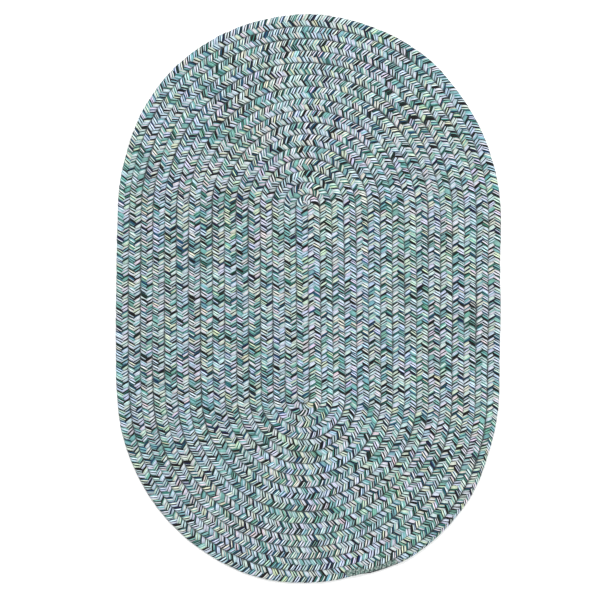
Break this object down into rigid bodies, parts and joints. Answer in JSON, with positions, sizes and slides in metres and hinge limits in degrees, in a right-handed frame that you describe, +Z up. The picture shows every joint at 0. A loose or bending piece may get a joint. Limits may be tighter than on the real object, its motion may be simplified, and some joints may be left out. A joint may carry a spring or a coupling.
{
  "type": "braided rug",
  "caption": "Flat oval rug coiled from one three-strand yarn braid, laced row to row, in mixed sea greens, creams and blues; reversible, lies flat on a floor.",
  "frame": {"origin": "on the floor, under the middle of the rug's bounding box", "axes": "+Y along the rug's length, towards the end round which the first row turns; +X across it; +Z up, out of the upper face"},
  "size_m": [0.6122, 0.9034, 0.0095],
  "materials": {
    "braid_yarn": "matte multi-colour braided yarn, sea green, pale aqua, cream and lilac grey with dark flecks"
  },
  "bodies": {
    "root": {"braided_coil": "braid_yarn"}
  },
  "joints": []
}
